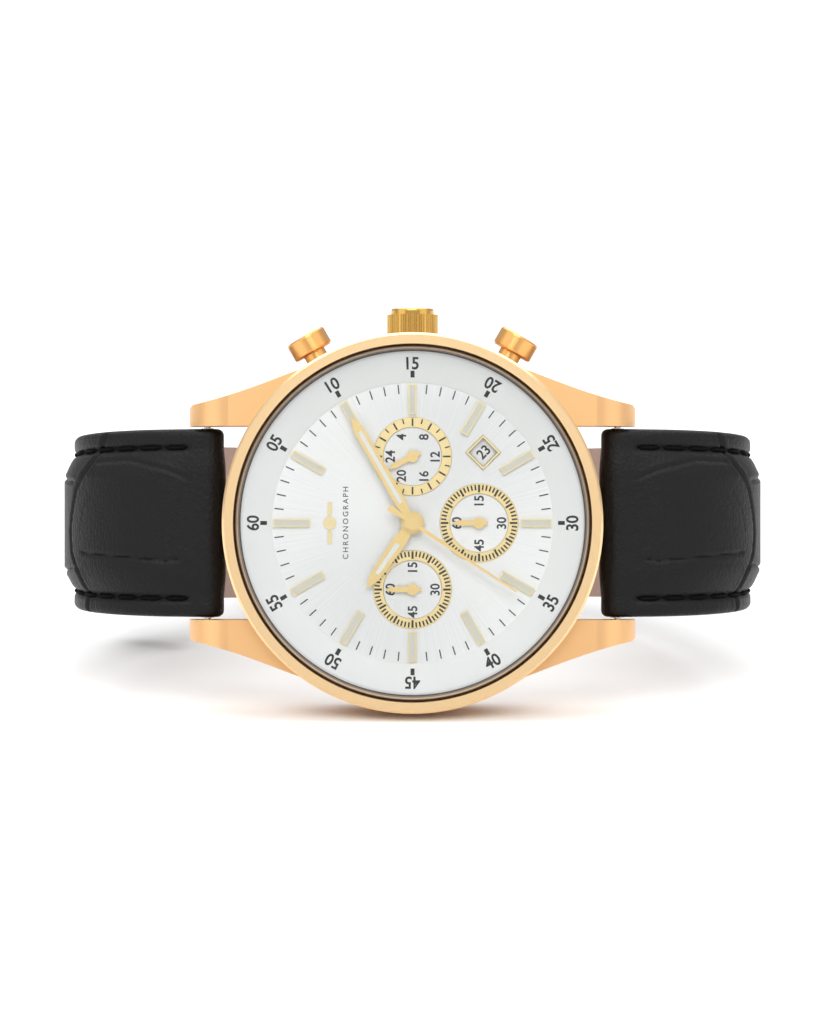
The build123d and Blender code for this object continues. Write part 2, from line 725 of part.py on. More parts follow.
with BuildPart() as strap_12_lining:
    add(strap_layer(TO_12, STRAP_12_STRETCHES, STRAP_12_LENGTH, INNER_FACE, LINING_FACE, 0, ()))
    with BuildSketch(Plane.XZ):
        with Locations((-BAR_X, BAR_Z)):
            Circle(LOOP_AT_CASE)
        with Locations(strap_point(TO_12, STRAP_12_STRETCHES, STRAP_12_LENGTH, 0)):
            Circle(LOOP_AT_BUCKLE)
    extrude(amount=THROUGH_STRAP, both=True, mode=Mode.SUBTRACT)
    with BuildSketch(strap_frame(TO_12, STRAP_12_STRETCHES, STRAP_12_LENGTH)):
        with Locations((-2.0, 0)):
            SlotOverall(*TONGUE_SLOT)
    extrude(amount=4, both=True, mode=Mode.SUBTRACT)
strap_12_lining.part.label = "strap_12_lining"

TIP_LENGTH = 5.5
FIRST_HOLE = 30
HOLE_PITCH = 6.5
HOLE_DISTANCES = [STRAP_6_LENGTH - FIRST_HOLE - HOLE_PITCH * step for step in range(7)]

with BuildPart() as strap_6_cuts:
    with BuildSketch(strap_frame(TO_6, STRAP_6_STRETCHES, STRAP_6_LENGTH)):
        with Locations((2 - TIP_LENGTH, 0)):
            Rectangle(TIP_LENGTH + 2, 24, align=(Align.MIN, Align.CENTER))
        with Locations((-TIP_LENGTH, 0)):
            Rectangle(TIP_LENGTH, 24, align=(Align.MIN, Align.CENTER))
            Ellipse(TIP_LENGTH, strap_half_width(STRAP_NARROWED_AT), mode=Mode.SUBTRACT)
    extrude(amount=4, both=True)
    for hole_distance in HOLE_DISTANCES:
        with BuildSketch(strap_frame(TO_6, STRAP_6_STRETCHES, hole_distance)):
            Circle(0.9)
        extrude(amount=4, both=True)

with BuildPart() as strap_6_top:
    add(strap_layer(TO_6, STRAP_6_STRETCHES, STRAP_6_LENGTH, LINING_FACE, UPPER_FACE, 0,
                    ((0, LOOP_AT_CASE),)))
    with BuildSketch(Plane.XZ):
        with Locations((BAR_X, BAR_Z)):
            Circle(STRAP_HOLE_RADIUS)
    extrude(amount=THROUGH_STRAP, both=True, mode=Mode.SUBTRACT)
    add(strap_6_cuts.part, mode=Mode.SUBTRACT)
strap_6_top.part.label = "strap_6_top"

with BuildPart() as strap_6_lining:
    add(strap_layer(TO_6, STRAP_6_STRETCHES, STRAP_6_LENGTH, INNER_FACE, LINING_FACE, 0, ()))
    with BuildSketch(Plane.XZ):
        with Locations((BAR_X, BAR_Z)):
            Circle(LOOP_AT_CASE)
    extrude(amount=THROUGH_STRAP, both=True, mode=Mode.SUBTRACT)
    add(strap_6_cuts.part, mode=Mode.SUBTRACT)
strap_6_lining.part.label = "strap_6_lining"

spring_bar_12 = spring_bar(-BAR_X, BAR_Z, 10.8, 1.3)
spring_bar_12.label = "spring_bar_12"
spring_bar_6 = spring_bar(BAR_X, BAR_Z, 10.8, 1.3)
spring_bar_6.label = "spring_bar_6"


# ---- buckle and keepers ----
BUCKLE_INSIDE = 9.45
BUCKLE_OUTSIDE = 10.65
BUCKLE_REACH = 13.4
FRONT_BAR_WIDTH = 3.0
BUCKLE_THICKNESS = 2.2
KEEPER_LENGTH = 5.0
KEEPER_WALL = 1.2
KEEPER_FIXED_AT = 66.5
KEEPER_FREE_AT = 46
buckle_plane = strap_frame(TO_12, STRAP_12_STRETCHES, STRAP_12_LENGTH)
buckle_x, buckle_z = strap_point(TO_12, STRAP_12_STRETCHES, STRAP_12_LENGTH, 0)

buckle_bar = spring_bar(buckle_x, buckle_z, 9.0, 1.4)
buckle_bar.label = "buckle_bar"

with BuildPart() as buckle_frame:
    with BuildSketch(buckle_plane.offset(-BUCKLE_THICKNESS / 2)):
        with Locations((-1.6, 0)):
            Rectangle(BUCKLE_REACH + 1.6, 2 * BUCKLE_OUTSIDE, align=(Align.MIN, Align.CENTER))
        with Locations((-3.0, 0)):
            Rectangle(BUCKLE_REACH + 3 - FRONT_BAR_WIDTH, 2 * BUCKLE_INSIDE, align=(Align.MIN, Align.CENTER),
                      mode=Mode.SUBTRACT)
    extrude(amount=BUCKLE_THICKNESS)
    fillet(buckle_frame.edges().filter_by(Axis(buckle_plane.origin, buckle_plane.z_dir)), 0.5)
    with BuildSketch(Plane.XZ):
        with Locations((buckle_x, buckle_z)):
            Circle(BAR_HOLE_RADIUS)
    extrude(amount=THROUGH_STRAP, both=True, mode=Mode.SUBTRACT)
buckle_frame.part.label = "buckle_frame"

with BuildPart() as buckle_tongue:
    with BuildSketch(Plane(origin=buckle_plane.origin, x_dir=buckle_plane.x_dir,
                           z_dir=buckle_plane.x_dir.cross(buckle_plane.z_dir))):
        Circle(1.3)
        Polygon((0, 0.6), (1.0, 0.45), (10.2, 1.2), (13.3, 1.2), (13.3, 1.7), (12.7, 2.05), (10.0, 2.05),
                (0, 1.3), align=None)
        Circle(STRAP_HOLE_RADIUS, mode=Mode.SUBTRACT)
    extrude(amount=1.05, both=True)
buckle_tongue.part.label = "buckle_tongue"


def keeper(distance, slack):
    """Leather loop round the short half, high enough for the long half's end as well."""
    station = strap_frame(TO_12, STRAP_12_STRETCHES, distance)
    inside = strap_half_width(station.origin.Z) + 0.3
    low = strap_thickness(distance) / 2 + slack
    high = strap_thickness(distance) / 2 + STRAP_THIN + 2 * slack
    section = Plane(origin=station.origin, x_dir=(0, 1, 0), z_dir=station.x_dir)
    outward = 1 if section.y_dir.dot(station.z_dir) > 0 else -1
    with BuildPart() as loop:
        with BuildSketch(section.offset(-KEEPER_LENGTH / 2)):
            with Locations((0, outward * (high - low) / 2)):
                RectangleRounded(2 * (inside + KEEPER_WALL), high + low + 2 * KEEPER_WALL, 1.4)
                RectangleRounded(2 * inside, high + low, 0.5, mode=Mode.SUBTRACT)
        extrude(amount=KEEPER_LENGTH)
    return loop.part


keeper_fixed = keeper(KEEPER_FIXED_AT, 0.28)
keeper_fixed.label = "keeper_fixed"
keeper_free = keeper(KEEPER_FREE_AT, 0.8)
keeper_free.label = "keeper_free"

# ---- standing on its side ----
# The case's rear rim and the long half's lower edge, at its furthest point back, both touch the ground.
REAR_Z = strap_point(TO_6, STRAP_6_STRETCHES, STRAP_6_LENGTH - TIP_LENGTH, strap_thickness(70) / 2)[1]
RIM_Z = CASE_BOTTOM + CASE_EDGE_CHAMFER
LEAN = degrees(atan((CASE_RADIUS - strap_half_width(REAR_Z)) / (RIM_Z - REAR_Z)))
LEANING = Location((0, 0, 0), (90 - LEAN, 0, 0))

PIECES = [
    case_middle.part, bezel.part, crystal.part, crystal_gasket.part, case_back.part, case_back_gasket.part,
    dial.part, chapter_ring.part, hour_markers.part, ring_24h, ring_seconds, ring_minutes, date_frame.part,
    emblem.part, date_disc.part, movement_ring.part, main_plate.part, circuit_board.part, train_bridge.part,
    movement_screws.part, coil_block.part, battery_cell.part, battery_clamp.part, minute_wheel.part,
    cannon_pinion.part, hour_wheel.part, seconds_arbor.part, hour_hand.part, minute_hand.part,
    seconds_hand.part, hand_24h, chrono_seconds_hand, chrono_minutes_hand, crown_tube.part, crown.part,
    winding_stem.part, crown_gasket.part, start_pusher_tube, start_pusher, start_pusher_clip, start_pusher_spring,
    reset_pusher_tube, reset_pusher, reset_pusher_clip, reset_pusher_spring, strap_12_top.part,
    strap_12_lining.part, strap_6_top.part, strap_6_lining.part, spring_bar_12, spring_bar_6, buckle_bar,
    buckle_frame.part, buckle_tongue.part, keeper_fixed, keeper_free,
]

boxes = [(LEANING * piece).bounding_box() for piece in PIECES]
lowest = min(box.min.Z for box in boxes)
depth_middle = (min(box.min.Y for box in boxes) + max(box.max.Y for box in boxes)) / 2
STANDING = Location((0, -depth_middle, -lowest)) * LEANING

for piece in PIECES:
    label = piece.label
    standing_piece = STANDING * piece
    standing_piece.label = label
    export_step(standing_piece, f"parts/{label}.step")
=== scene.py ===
"""Looks of the chronograph wristwatch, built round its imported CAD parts.

Lengths are millimetres on the watch's own axes (+X to 6 o'clock, +Y to the crown, +Z out of the dial),
until they are placed in the frame in metres.
"""
import json
from math import atan2, cos, degrees, pi, radians, sin, sqrt

import bpy
import numpy as np
from mathutils import Matrix, Vector


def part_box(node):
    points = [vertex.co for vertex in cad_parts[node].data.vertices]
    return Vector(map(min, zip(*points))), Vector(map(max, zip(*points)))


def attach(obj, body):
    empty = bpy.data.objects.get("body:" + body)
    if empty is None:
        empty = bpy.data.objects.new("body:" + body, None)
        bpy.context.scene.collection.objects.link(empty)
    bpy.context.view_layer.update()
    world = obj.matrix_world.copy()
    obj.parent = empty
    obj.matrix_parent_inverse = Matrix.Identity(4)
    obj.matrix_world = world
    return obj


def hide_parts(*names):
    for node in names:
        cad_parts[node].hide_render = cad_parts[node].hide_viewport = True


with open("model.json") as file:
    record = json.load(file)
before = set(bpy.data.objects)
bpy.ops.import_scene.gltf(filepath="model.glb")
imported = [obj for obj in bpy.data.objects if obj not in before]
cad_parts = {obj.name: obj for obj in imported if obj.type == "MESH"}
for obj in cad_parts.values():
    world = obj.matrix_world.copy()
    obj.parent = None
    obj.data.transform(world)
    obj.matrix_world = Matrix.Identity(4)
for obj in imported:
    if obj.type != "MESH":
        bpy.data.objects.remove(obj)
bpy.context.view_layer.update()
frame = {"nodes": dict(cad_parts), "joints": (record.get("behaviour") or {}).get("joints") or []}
NODES = frame["nodes"]
JOINTS = {joint["name"]: joint for joint in frame["joints"]}

OUT = -Vector(JOINTS["minute_turn"]["axis"])
UP = Vector(JOINTS["crown_pull"]["axis"])
ALONG = UP.cross(OUT)
TURN = Matrix((ALONG, UP, OUT)).transposed().to_4x4()
WATCH = Matrix.Translation(JOINTS["minute_turn"]["pos_m"]) @ TURN @ Matrix.Scale(0.001, 4)

watch_axes = bpy.data.objects.new("watch_axes", None)
bpy.context.scene.collection.objects.link(watch_axes)
watch_axes.matrix_world = WATCH


# ---- materials ----
def new_material(name, colour, **sockets):
    """A Principled material with constants on its sockets."""
    made = bpy.data.materials.new(name)
    made.use_nodes = True
    shader = made.node_tree.nodes["Principled BSDF"]
    shader.inputs["Base Color"].default_value = (*colour, 1)
    for socket, value in sockets.items():
        shader.inputs[socket.replace("_", " ")].default_value = value
    return made


def node(made, kind, **inputs):
    added = made.node_tree.nodes.new(kind)
    for socket, value in inputs.items():
        added.inputs[socket.replace("_", " ")].default_value = value
    return added


def join(made, start, end):
    made.node_tree.links.new(start, end)


def watch_coordinates(made, stretch=(1, 1, 1)):
    """Texture coordinates in millimetres on the watch's axes, stretched by a factor each way."""
    place = node(made, "ShaderNodeTexCoord")
    place.object = watch_axes
    mapping = node(made, "ShaderNodeMapping", Scale=stretch)
    join(made, place.outputs["Object"], mapping.inputs["Vector"])
    return mapping.outputs["Vector"]


def grain(made, scale, bump, stretch=(1, 1, 1), rough=None, detail=3.0):
    """Noise that drives a bump, and the roughness between two values."""
    noise = node(made, "ShaderNodeTexNoise", Scale=scale, Detail=detail)
    join(made, watch_coordinates(made, stretch), noise.inputs["Vector"])
    shader = made.node_tree.nodes["Principled BSDF"]
    lifted = node(made, "ShaderNodeBump", Strength=bump, Distance=0.00005)
    join(made, noise.outputs["Fac"], lifted.inputs["Height"])
    join(made, lifted.outputs["Normal"], shader.inputs["Normal"])
    if rough:
        spread = node(made, "ShaderNodeMapRange", To_Min=rough[0], To_Max=rough[1])
        join(made, noise.outputs["Fac"], spread.inputs["Value"])
        join(made, spread.outputs["Result"], shader.inputs["Roughness"])
    return made


def rings(made, low, high, stops):
    """Base colour by distance from the dial's centre: (radius, colour) stops between two radii."""
    flat = node(made, "ShaderNodeVectorMath")
    flat.operation = "LENGTH"
    join(made, watch_coordinates(made, (1, 1, 0)), flat.inputs[0])
    share = node(made, "ShaderNodeMapRange", From_Min=low, From_Max=high)
    join(made, flat.outputs["Value"], share.inputs["Value"])
    ramp = node(made, "ShaderNodeValToRGB")
    elements = ramp.color_ramp.elements
    while len(elements) < len(stops):
        elements.new(0.5)
    for element, (radius, colour) in zip(elements, stops):
        element.position = (radius - low) / (high - low)
        element.color = (*colour, 1)
    join(made, share.outputs["Result"], ramp.inputs["Fac"])
    join(made, ramp.outputs["Color"], made.node_tree.nodes["Principled BSDF"].inputs["Base Color"])
    return made


def gold(name, colour, rough, bump=0.02, stretch=(1, 1, 1), scale=2.0):
    return grain(new_material(name, colour, Metallic=1.0), scale, bump, stretch, rough)


CASE_GOLD = gold("case_gold", (0.76, 0.45, 0.21), (0.32, 0.38), 0.01, (0.6, 6, 6), 3.0)
# Paler than the case gold: a painted highlight of the bezel's flat polished top.
BEZEL_GOLD_PAINTED_LIGHT = gold("bezel_gold", (0.95, 0.67, 0.37), (0.25, 0.27), 0.0)
# Dark brown stops from radius 20.0 to 20.26: painted shade on the bezel's inner slope.
rings(BEZEL_GOLD_PAINTED_LIGHT, 20.0, 21.0, [(20.0, (0.2, 0.11, 0.04)), (20.2, (0.3, 0.17, 0.07)),
                               (20.26, (0.95, 0.67, 0.37))])
CROWN_GOLD = gold("crown_gold", (0.64, 0.38, 0.10), (0.16, 0.22))
PUSHER_GOLD = gold("pusher_gold", (0.70, 0.38, 0.13), (0.28, 0.34), 0.02, (0.5, 0.5, 8), 3.0)
MARKER_GOLD = gold("marker_gold", (0.84, 0.72, 0.44), (0.3, 0.36), 0.0)
SUBDIAL_GOLD = gold("subdial_gold", (0.82, 0.66, 0.34), (0.34, 0.44), 0.08, (4, 4, 4), 4.0)
HAND_GOLD = gold("hand_gold", (0.90, 0.67, 0.30), (0.28, 0.34), 0.0)
EMBLEM_GOLD = gold("emblem_gold", (0.86, 0.72, 0.42), (0.3, 0.36))
BUCKLE_GOLD = gold("buckle_gold", (0.86, 0.57, 0.28), (0.2, 0.28), 0.05, (6, 1, 6), 3.0)
STEEL = grain(new_material("screw_steel", (0.62, 0.61, 0.6), Metallic=1.0), 4.0, 0.05, rough=(0.22, 0.32))
BRASS = grain(new_material("movement_brass", (0.72, 0.56, 0.3), Metallic=1.0), 5.0, 0.1, rough=(0.3, 0.4))
RUBBER = grain(new_material("black_rubber", (0.02, 0.02, 0.02)), 6.0, 0.1, rough=(0.5, 0.6))
PLASTIC = grain(new_material("holder_plastic", (0.7, 0.69, 0.65)), 6.0, 0.1, rough=(0.45, 0.55))
BOARD = grain(new_material("board_green", (0.05, 0.2, 0.09)), 6.0, 0.1, rough=(0.3, 0.4))
COPPER = grain(new_material("coil_copper", (0.55, 0.22, 0.1), Metallic=0.9), 3.0, 0.4, (1, 12, 12),
               (0.3, 0.4))
DATE_WHITE = grain(new_material("date_white", (0.86, 0.86, 0.86)), 6.0, 0.05, rough=(0.5, 0.6))
RING_WHITE_PAINTED_SHADE = grain(new_material("ring_white", (0.86, 0.865, 0.865)), 30.0, 0.05, rough=(0.42, 0.5))
# The dark stop from radius 19.47 is a painted shadow line at the chapter ring's outer edge.
rings(RING_WHITE_PAINTED_SHADE, 19.0, 20.0, [(19.0, (0.975, 0.98, 0.98)), (19.42, (0.95, 0.95, 0.94)),
                               (19.47, (0.05, 0.03, 0.02))])
# Painted light of the crystal's edge on the gasket: the dark bands are painted shade, and the pale gold band
# from radius 19.78 to 19.87 is a painted highlight.
GLASS_EDGE_PAINTED_LIGHT = grain(new_material("glass_edge_painted_light", (0.2, 0.15, 0.12)), 6.0, 0.1, rough=(0.4, 0.5))
rings(GLASS_EDGE_PAINTED_LIGHT, 19.0, 20.0, [(19.54, (0.06, 0.04, 0.025)), (19.6, (0.3, 0.23, 0.18)),
                               (19.73, (0.32, 0.25, 0.19)), (19.78, (0.9, 0.68, 0.5)),
                               (19.87, (0.85, 0.62, 0.42)), (19.9, (0.12, 0.06, 0.02))])
LUME = grain(new_material("lume", (0.72, 0.72, 0.66)), 20.0, 0.1, rough=(0.6, 0.7))
HAND_LUME = grain(new_material("hand_lume", (0.90, 0.90, 0.87)), 20.0, 0.1, rough=(0.6, 0.7))
PRINT = grain(new_material("black_print", (0.012, 0.012, 0.013)), 10.0, 0.03, rough=(0.45, 0.55))
THREAD = grain(new_material("black_thread", (0.003, 0.003, 0.003), Specular_IOR_Level=0.05), 9.0, 0.6,
               (1, 3, 3), (0.65, 0.75))


def dial_material():
    """Silver-white sunray: fine radial streaks, and broad soft sectors of painted sheen round the dial's
    centre.
    """
    made = new_material("dial_white", (0.8, 0.8, 0.8), Metallic=0.1, Roughness=0.4)
    shader = made.node_tree.nodes["Principled BSDF"]
    split = node(made, "ShaderNodeSeparateXYZ")
    join(made, watch_coordinates(made), split.inputs["Vector"])
    turn = node(made, "ShaderNodeMath")
    turn.operation = "ARCTAN2"
    join(made, split.outputs["Y"], turn.inputs[0])
    join(made, split.outputs["X"], turn.inputs[1])
    streaks = node(made, "ShaderNodeTexNoise", Scale=60.0, Detail=4.0)
    streaks.noise_dimensions = "1D"
    join(made, turn.outputs["Value"], streaks.inputs["W"])
    # Broad soft sectors: a painted sheen of the sunray finish, mixed with the streaks into the base colour.
    doubled = node(made, "ShaderNodeMath")
    doubled.operation = "MULTIPLY_ADD"
    doubled.inputs[1].default_value = 2.0
    doubled.inputs[2].default_value = 0.9
    join(made, turn.outputs["Value"], doubled.inputs[0])
    painted_sheen = node(made, "ShaderNodeMath")
    painted_sheen.operation = "COSINE"
    join(made, doubled.outputs["Value"], painted_sheen.inputs[0])
    mixed = node(made, "ShaderNodeMath")
    mixed.operation = "MULTIPLY_ADD"
    mixed.inputs[1].default_value = 0.35
    join(made, painted_sheen.outputs["Value"], mixed.inputs[0])
    join(made, streaks.outputs["Fac"], mixed.inputs[2])
    ramp = node(made, "ShaderNodeValToRGB")
    ramp.color_ramp.elements[0].position = 0.1
    ramp.color_ramp.elements[0].color = (0.84, 0.85, 0.855, 1)
    ramp.color_ramp.elements[1].position = 0.9
    ramp.color_ramp.elements[1].color = (0.97, 0.975, 0.975, 1)
    join(made, mixed.outputs["Value"], ramp.inputs["Fac"])
    join(made, ramp.outputs["Color"], shader.inputs["Base Color"])
    return made


def crystal_material():
    """Clear glass that lets the light on the dial through and adds a faint reflection."""
    made = new_material("crystal_glass", (1, 1, 1))
    made.node_tree.nodes.remove(made.node_tree.nodes["Principled BSDF"])
    clear = node(made, "ShaderNodeBsdfTransparent", Color=(0.985, 0.99, 0.99, 1))
    shine = node(made, "ShaderNodeBsdfGlossy", Roughness=0.03)
    facing = node(made, "ShaderNodeFresnel", IOR=1.45)
    haze = node(made, "ShaderNodeTexNoise", Scale=0.2)
    join(made, watch_coordinates(made), haze.inputs["Vector"])
    faint = node(made, "ShaderNodeMapRange", To_Min=0.02, To_Max=0.035)
    join(made, haze.outputs["Fac"], faint.inputs["Value"])
    join(made, faint.outputs["Result"], shine.inputs["Roughness"])
    mixed = node(made, "ShaderNodeMixShader")
    join(made, facing.outputs["Fac"], mixed.inputs["Fac"])
    join(made, clear.outputs["BSDF"], mixed.inputs[1])
    join(made, shine.outputs["BSDF"], mixed.inputs[2])
    join(made, mixed.outputs["Shader"], made.node_tree.nodes["Material Output"].inputs["Surface"])
    return made


def leather_material(name, colour, rough, pores):
    """Leather with fine pores and short creases across the strap."""
    made = new_material(name, colour, Specular_IOR_Level=0.17)
    shader = made.node_tree.nodes["Principled BSDF"]
    cells = node(made, "ShaderNodeTexVoronoi", Scale=pores)
    join(made, watch_coordinates(made), cells.inputs["Vector"])
    creases = node(made, "ShaderNodeTexNoise", Scale=1.4, Detail=6.0, Distortion=0.4)
    join(made, watch_coordinates(made, (2.2, 0.8, 2.2)), creases.inputs["Vector"])
    total = node(made, "ShaderNodeMath")
    total.operation = "MULTIPLY_ADD"
    total.inputs[1].default_value = 2.2
    join(made, creases.outputs["Fac"], total.inputs[0])
    join(made, cells.outputs["Distance"], total.inputs[2])
    lifted = node(made, "ShaderNodeBump", Strength=0.5, Distance=0.00008)
    join(made, total.outputs["Value"], lifted.inputs["Height"])
    join(made, lifted.outputs["Normal"], shader.inputs["Normal"])
    spread = node(made, "ShaderNodeMapRange", To_Min=rough[0], To_Max=rough[1])
    join(made, creases.outputs["Fac"], spread.inputs["Value"])
    join(made, spread.outputs["Result"], shader.inputs["Roughness"])
    return made


DIAL_WHITE = dial_material()
CRYSTAL = crystal_material()
LEATHER = leather_material("black_leather", (0.0045, 0.0045, 0.005), (0.38, 0.5), 3.2)
LINING = leather_material("lining_leather", (0.36, 0.25, 0.21), (0.75, 0.85), 4.0)

LOOKS = {
    "case_middle": CASE_GOLD, "bezel": BEZEL_GOLD_PAINTED_LIGHT, "crystal": CRYSTAL, "crystal_gasket": GLASS_EDGE_PAINTED_LIGHT,
    "case_back": STEEL, "case_back_gasket": RUBBER, "dial": DIAL_WHITE, "chapter_ring": RING_WHITE_PAINTED_SHADE,
    "hour_markers": MARKER_GOLD, "ring_24h": SUBDIAL_GOLD, "ring_seconds": SUBDIAL_GOLD,
    "ring_minutes": SUBDIAL_GOLD, "date_frame": MARKER_GOLD, "emblem": EMBLEM_GOLD, "date_disc": DATE_WHITE,
    "movement_ring": PLASTIC, "main_plate": BRASS, "circuit_board": BOARD, "train_bridge": BRASS,
    "movement_screws": STEEL, "coil_block": COPPER, "battery_cell": STEEL, "battery_clamp": STEEL,
    "minute_wheel": BRASS, "cannon_pinion": BRASS, "hour_wheel": BRASS, "seconds_arbor": HAND_GOLD,
    "hour_hand": HAND_GOLD, "minute_hand": HAND_GOLD, "seconds_hand": HAND_GOLD, "hand_24h": HAND_GOLD,
    "chrono_seconds_hand": HAND_GOLD, "chrono_minutes_hand": HAND_GOLD, "crown": CROWN_GOLD,
    "start_pusher": PUSHER_GOLD, "reset_pusher": PUSHER_GOLD, "crown_gasket": RUBBER,
    "buckle_frame": BUCKLE_GOLD, "buckle_tongue": BUCKLE_GOLD, "keeper_fixed": LEATHER,
    "keeper_free": LEATHER,
    "strap_12_top": LEATHER, "strap_6_top": LEATHER, "strap_12_lining": LINING, "strap_6_lining": LINING,
}
for name, shown in NODES.items():
    shown.data.materials.clear()
    shown.data.materials.append(LOOKS.get(name, STEEL))


# ---- dial dimensions, the same as the CAD's ----
FLAT_DIAL_RADIUS = 15.95
RING_FOOT = 0.12
RING_RISE = 1.93
RING_REACH = 3.25
SUBDIAL_PLACE = 7.55
SUBDIAL_FLOOR = -0.1
SUBDIAL_RING_TOP = 0.15
SHORT_MARKER_INNER = 12.35
LONG_MARKER_INNER = 11.65
MARKER_OUTER = 15.57
MARKER_FLOOR = 0.205
DATE_ANGLE = 135
DATE_SHOWN = 23
DATE_TOP = -0.5
DATE_PLACE = 11.38
NUMERAL_PLACE = 18.08
SUBDIAL_NUMERAL_PLACE = 2.55
LIFT = 0.012
# Printed ticks as (inner radius, outer radius, width).
MINUTE_TICK = (14.7, 15.75, 0.14)
HOUR_TICK = (16.5, 17.25, 0.45)


# ---- building meshes ----
def piece(name, points, faces, look, body, slot, sharp=35):
    """A mesh from points on the watch's axes, riding on a CAD body."""
    mesh = bpy.data.meshes.new(name)
    mesh.from_pydata([tuple(point) for point in points], [], faces)
    mesh.transform(WATCH)
    mesh.materials.append(look)
    mesh.polygons.foreach_set("use_smooth", [True] * len(mesh.polygons))
    mesh.set_sharp_from_angle(angle=radians(sharp))
    mesh.update()
    made = bpy.data.objects.new(name, mesh)
    bpy.context.scene.collection.objects.link(made)
    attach(made, body)
    return made


def dial_point(angle, radius, height=0.0):
    return (-radius * cos(radians(angle)), radius * sin(radians(angle)), height)


def slope(radius):
    """Height of the chapter ring's sloping face at a radius."""
    return RING_FOOT + (radius - FLAT_DIAL_RADIUS) * RING_RISE / RING_REACH


class Print:
    """Flat printed shapes gathered into one mesh."""

    def __init__(self):
        self.points = []
        self.faces = []

    def add(self, points, faces):
        first = len(self.points)
        self.points += points
        self.faces += [[first + corner for corner in face] for face in faces]

    def tick(self, centre, angle, inner, outer, width, height):
        """A radial bar round a centre; height is a number or a function of the radius."""
        corners = []
        for radius, side in ((inner, -1), (outer, -1), (outer, 1), (inner, 1)):
            lift = height(radius) if callable(height) else height
            x, y, z = dial_point(angle, radius, lift)
            shift = side * width / 2
            corners.append((centre[0] + x + shift * sin(radians(angle)),
                            centre[1] + y + shift * cos(radians(angle)), z))
        self.add(corners, [[3, 2, 1, 0]])

    def text(self, words, cap, place, spacing=1.0, squeeze=1.0, bold=0.022):
        """Text with capitals of a height, centred, each point put in place by a function of (right, up)."""
        curve = bpy.data.curves.new("text", "FONT")
        curve.body = words
        curve.space_character = spacing
        curve.resolution_u = 4
        curve.offset = bold
        shape = bpy.data.objects.new("text", curve)
        bpy.context.scene.collection.objects.link(shape)
        bpy.context.view_layer.update()
        mesh = bpy.data.meshes.new_from_object(shape)
        points = [vertex.co.copy() for vertex in mesh.vertices]
        faces = [list(polygon.vertices) for polygon in mesh.polygons]
        bpy.data.objects.remove(shape)
        bpy.data.meshes.remove(mesh)
        low = [min(point[axis] for point in points) for axis in (0, 1)]
        high = [max(point[axis] for point in points) for axis in (0, 1)]
        size = cap / (high[1] - low[1])
        self.add([place((point.x - (low[0] + high[0]) / 2) * size * squeeze,
                        (point.y - (low[1] + high[1]) / 2) * size) for point in points], faces)


def box_between(angle, inner, outer, half_inner, half_outer, low, high):
    """Points and faces of a radial bar with its own half width at each end."""
    corners = []
    for height in (low, high):
        for radius, half in ((inner, -half_inner), (outer, -half_outer), (outer, half_outer),
                             (inner, half_inner)):
            x, y, z = dial_point(angle, radius, height)
            corners.append((x + half * sin(radians(angle)), y + half * cos(radians(angle)), z))
    return corners, [[0, 1, 2, 3], [7, 6, 5, 4], [4, 5, 1, 0], [5, 6, 2, 1], [6, 7, 3, 2], [7, 4, 0, 3]]


def pointing(name):
    """Clock angle in which a hand points at rest, from the far end of its own CAD node."""
    points = np.array([vertex.co for vertex in NODES[name].data.vertices])
    inverse = np.array(WATCH.inverted())
    local = points @ inverse[:3, :3].T + inverse[:3, 3]
    far = local[np.argmax(np.hypot(local[:, 0], local[:, 1]))]
    return degrees(atan2(far[1], -far[0]))


# ---- dial printing ----
SUBDIALS = {"ring_24h": dial_point(90, SUBDIAL_PLACE), "ring_seconds": dial_point(180, SUBDIAL_PLACE),
            "ring_minutes": dial_point(270, SUBDIAL_PLACE)}

dial_print = Print()
for minute in range(60):
    if minute % 5:
        dial_print.tick((0, 0), 6 * minute, *MINUTE_TICK, LIFT)
dial_print.text("CHRONOGRAPH", 0.62, lambda u, v: (-7.6 - v, u, LIFT), 1.35, 1.0, 0.004)
for ring, centre in SUBDIALS.items():
    hours = ring == "ring_24h"
    for step in range(24 if hours else 60):
        if hours:
            inner, outer, width = (3.46, 4.32, 0.2) if step % 2 == 0 else (3.8, 4.36, 0.15)
        else:
            inner, outer, width = (3.48, 4.34, 0.24) if step % 5 == 0 else (3.73, 4.34, 0.19)
        dial_print.tick(centre, step * (15 if hours else 6), inner, outer, width, SUBDIAL_RING_TOP + LIFT)
    numbers = {"4": 60, "8": 120, "12": 180, "16": 240, "20": 300, "24": 0} if hours else \
        {"60": 0, "15": 90, "30": 180, "45": 270}
    for number, angle in numbers.items():
        x, y, z = dial_point(angle, SUBDIAL_NUMERAL_PLACE)
        dial_print.text(number, 1.1,
                        lambda u, v: (centre[0] + x - v, centre[1] + y + u, LIFT + SUBDIAL_FLOOR), 1.0, 0.95)
piece("dial_print", dial_print.points, dial_print.faces, PRINT, "case", "dial_white")

ring_print = Print()
for hour in range(12):
    angle = 30 * hour
    ring_print.tick((0, 0), angle, *HOUR_TICK, lambda radius: slope(radius) + LIFT)
    way = -1 if 4 <= hour <= 8 else 1
    ring_print.text("%02d" % (5 * hour or 60), 1.4,
                    lambda u, v: dial_point(angle + way * degrees(u / NUMERAL_PLACE), NUMERAL_PLACE + way * v,
                                            slope(NUMERAL_PLACE + way * v) + LIFT), 1.0, 0.95)
piece("ring_print", ring_print.points, ring_print.faces, PRINT, "case", "ring_white")

